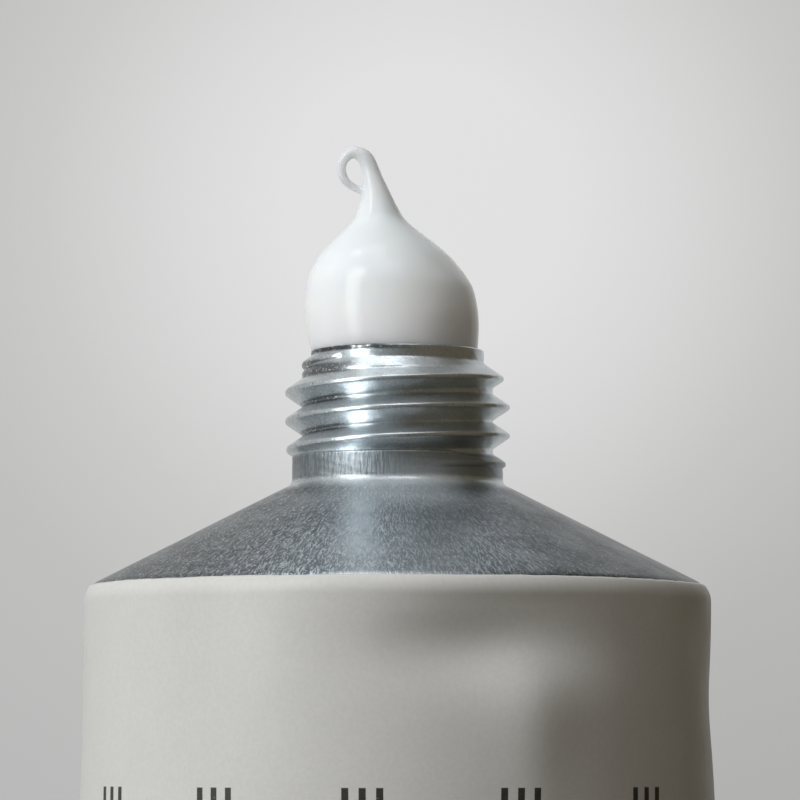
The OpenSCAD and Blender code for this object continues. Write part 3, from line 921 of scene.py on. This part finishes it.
# A painted pool of light: the paper is palest behind the neck, at this place in metres, and darker
# away from it. Its greys are given by shares of a distance, also in metres.
LIGHT_POOL_PLACE = (0.002, 0.099, 0.0)
LIGHT_POOL_GREYS = ((0.1, "#e7e7e7"), (0.17, "#dfdfdf"), (0.27, "#cfcfce"), (0.36, "#c4c4c3"), (0.5, "#bdbdbd"))
LIGHT_POOL_REACH = 0.1
SHADOWLESS_SHARE = 0.82


def add_card(name, corners, material):
    """A flat card of the studio, from its four corners in metres."""
    mesh = bpy.data.meshes.new(name)
    mesh.from_pydata(corners, [], [(0, 1, 2, 3)])
    mesh.materials.append(material)
    card = bpy.data.objects.new(name, mesh)
    bpy.context.collection.objects.link(card)
    return card


def lay_floor():
    """A floor of matt paper, pale to the eye with a painted pool of light behind the neck, which keeps the
    tube's shadow faintly.
    """
    material, tree, shader = new_material("matt_grey_paper")
    tree.nodes.remove(shader)
    place = add(tree, "TexCoord", take="Object")
    offset = add(tree, "VectorMath", (place, LIGHT_POOL_PLACE), operation="SUBTRACT")
    away = add(tree, "VectorMath", (offset,), take="Value", operation="LENGTH")
    # Painted pool of light: greys pale near the neck and darker away from it.
    grey = add(tree, "ValToRGB", (overlap(tree, away, 1 / LIGHT_POOL_REACH),), stops=LIGHT_POOL_GREYS)
    lit = add(tree, "BsdfDiffuse", {"Color": grey})
    even = add(tree, "Emission", {"Color": grey, "Strength": 1.0})
    share = overlap(tree, seen_directly(tree), SHADOWLESS_SHARE)
    output = next(n for n in tree.nodes if n.type == "OUTPUT_MATERIAL")
    plug(tree, output, {"Surface": add(tree, "MixShader", (share, lit, even))})
    half = 3.0
    add_card("floor", [(-half, -half, 0), (half, -half, 0), (half, half, 0), (-half, half, 0)], material)


def set_world():
    """A room that is pale low down like the paper, cool on the left, and dark and warm on the right."""
    world = bpy.data.worlds.new("studio")
    bpy.context.scene.world = world
    world.use_nodes = True
    tree = world.node_tree
    background = next(n for n in tree.nodes if n.type == "BACKGROUND")
    direction = add(tree, "TexCoord", take="Generated")
    towards = add(tree, "SeparateXYZ", (direction,), take=None)
    side = add(tree, "MapRange", (towards["X"], -0.7, 0.3), interpolation_type="SMOOTHSTEP")
    high = add(tree, "MapRange", (towards["Z"], 0.05, 0.4), interpolation_type="SMOOTHSTEP")
    room, lit = [
        add(tree, "Mix", {0: side, 6: linear(cool), 7: linear(warm)}, take=2, data_type="RGBA")
        for cool, warm in (("#929ba0", "#5c5346"), ("#a2a19e", "#4c473c"))
    ]
    seen = add(tree, "Mix", {0: high, 6: linear("#cfcfcd"), 7: room}, take=2, data_type="RGBA")
    light = add(tree, "Mix", {0: seen_directly(tree), 6: lit, 7: seen}, take=2, data_type="RGBA")
    plug(tree, background, {"Color": light, "Strength": 1.0})


AIM = LAID @ Vector((0, 0, RIM_LEVEL * 0.5))
LAMP_AWAY = 0.6


def add_lamp(name, towards, long, wide, watts, colour="#fbfdff"):
    """A lamp towards the right, front and top of the upright tube, of a size in metres, long along it."""
    data = bpy.data.lights.new(name, "AREA")
    data.shape = "RECTANGLE"
    data.size = long
    data.size_y = wide
    data.energy = watts
    data.color = linear(colour)[:3]
    lamp = bpy.data.objects.new(name, data)
    bpy.context.collection.objects.link(lamp)
    right, front, up = towards
    direction = (LAID.to_3x3() @ Vector((right, -front, up))).normalized()
    lamp.location = AIM + direction * LAMP_AWAY
    lamp.rotation_euler = (-direction).to_track_quat("-Z", "Y").to_euler()
    lamp.visible_camera = False


def stand_flag():
    """A card of matt brown board on the right, out of the camera's sight, to dim that side.

    It gives the eye the warm dark streaks down the right of the metal.
    """
    material, tree, shader = new_material("matt_brown_board")
    plug(tree, shader, {"Base Color": linear("#655b4a"), "Roughness": 0.9})
    x, near, far, bottom, top = 0.037, 0.02, 0.15, 0.001, 0.10
    corners = [(x, near, bottom), (x, far, bottom), (x, far, top), (x, near, top)]
    add_card("brown_flag", corners, material).visible_camera = False


def light_studio():
    """A window of two panes and a wider one above, a softbox on the left and a weak light on top."""
    add_lamp("window_upper", (-0.44, 0.0, 0.90), 0.075, 0.075, 0.14)
    add_lamp("window_lower", (-0.51, 0.43, 0.74), 0.075, 0.075, 0.16)
    add_lamp("window_high", (-0.15, 0.02, 0.98), 0.22, 0.22, 0.3)
    add_lamp("softbox", (-0.67, 0.53, 0.34), 0.5, 0.2, 2.35)
    add_lamp("top", (0.05, 0.45, 0.9), 0.3, 0.3, 0.6, "#f4f8ff")


build_tube(aluminium_material())
build_enamel(enamel_material())
build_lotion(lotion_material())
lay_floor()
set_world()
stand_flag()
light_studio()
bpy.context.scene.view_settings.view_transform = "Standard"
